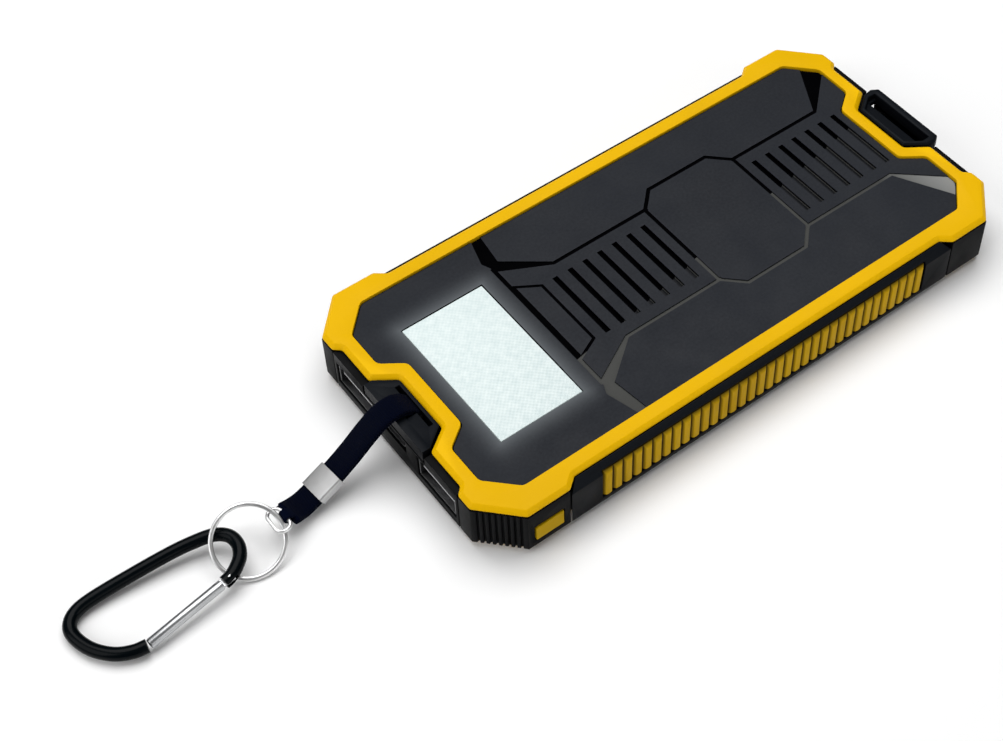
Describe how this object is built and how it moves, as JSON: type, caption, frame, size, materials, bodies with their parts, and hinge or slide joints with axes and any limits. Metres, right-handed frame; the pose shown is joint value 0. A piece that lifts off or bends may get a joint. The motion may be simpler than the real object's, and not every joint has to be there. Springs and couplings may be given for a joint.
{
  "type": "solar phone charger",
  "caption": "Rugged flat power bank with a solar panel underneath, an area light on top, charging sockets at one end, a hanging loop and a strap with a carabiner.",
  "frame": {"origin": "centre of the whole body's footprint, hanging loop included, on the surface the charger lies on", "axes": "+X along the length from the port end to the hanging loop, -Y the side with the power button, +Z the light side"},
  "size_m": [0.2183, 0.0711, 0.0161],
  "materials": {
    "yellow_plastic": "fine satin moulded",
    "ribbed_yellow": "satin, ribbed",
    "black_plastic": "fine matte texture",
    "black_rubber": "matte",
    "white_diffuser": "translucent white",
    "bright_metal": "polished",
    "black_anodised": "glossy anodised",
    "webbing": "flat woven webbing",
    "clear_resin": "clear",
    "silicon": "dark blue cells",
    "circuit_board": "solder mask",
    "cell_foil": "pouch foil",
    "red_wire": "insulation",
    "black_wire": "insulation",
    "seal_rubber": "matte",
    "component": "moulded"
  },
  "bodies": {
    "body": {"upper_bezel": "yellow_plastic", "lower_bezel": "yellow_plastic", "grip_strip_near": "ribbed_yellow", "grip_strip_far": "ribbed_yellow", "light_cover": "black_plastic", "mid_frame": "black_plastic", "side_rail_near": "black_plastic", "side_rail_far": "black_plastic", "strap_anchor": "black_plastic", "hanging_loop": "black_plastic", "solar_tray": "black_plastic", "corner_bumper_loop_far": "black_rubber", "corner_bumper_port_far": "black_rubber", "corner_bumper_port_near": "black_rubber", "corner_bumper_loop_near": "black_rubber", "port_plate": "black_rubber", "end_plate": "black_rubber", "light_lens": "white_diffuser", "light_reflector": "white_diffuser", "cover_screw_1": "bright_metal", "cover_screw_2": "bright_metal", "cover_screw_3": "bright_metal", "cover_screw_4": "bright_metal", "usb_a_shell_near": "bright_metal", "usb_a_shell_far": "bright_metal", "micro_usb_shell": "bright_metal", "strap_crimp": "bright_metal", "strap_webbing": "webbing", "panel_glass": "clear_resin", "indicator_light_guide": "clear_resin", "solar_string_near": "silicon", "solar_string_far": "silicon", "panel_backsheet": "circuit_board", "led_board": "circuit_board", "main_board": "circuit_board", "cell_protection_board": "circuit_board", "battery_cell_near": "cell_foil", "battery_cell_far": "cell_foil", "battery_lead_red": "red_wire", "solar_lead_red": "red_wire", "battery_lead_black": "black_wire", "solar_lead_black": "black_wire", "light_seal": "seal_rubber", "solar_seal": "seal_rubber", "button_return_pad": "seal_rubber", "usb_a_tongue_near": "component", "usb_a_tongue_far": "component", "micro_usb_tongue": "component", "tact_switch": "component", "boost_inductor": "component", "controller_chip": "component", "output_capacitor": "component", "light_pin_header": "component"},
    "power_button": {"power_button": "ribbed_yellow"},
    "ring": {"strap_eyelet": "bright_metal", "split_ring": "bright_metal"},
    "carabiner": {"carabiner_body": "black_anodised", "gate_pin": "bright_metal"},
    "gate": {"carabiner_gate": "bright_metal", "gate_spring": "bright_metal"}
  },
  "joints": [
    {"name": "button_press", "type": "slide", "parent": "body", "child": "power_button", "axis": [0, 1, 0], "range_m": [0, 0.0005], "stiffness_N_per_m": 900},
    {"name": "ring_swing", "type": "hinge", "parent": "body", "child": "ring", "pos_m": [-0.09945, -0.0014, 0.0053], "axis": [0, 1, 0], "range_deg": [0, 70]},
    {"name": "carabiner_swing", "type": "hinge", "parent": "ring", "child": "carabiner", "pos_m": [-0.1146, -0.00373, 0.0021], "axis": [-0.4347, 0.8048, 0.4041], "range_deg": [0, 75]},
    {"name": "gate_open", "type": "hinge", "parent": "carabiner", "child": "gate", "pos_m": [-0.1151, -0.00594, 0.00366], "axis": [0.0758, 0, -0.9971], "range_deg": [0, 28], "stiffness_Nm_per_rad": 0.02}
  ]
}
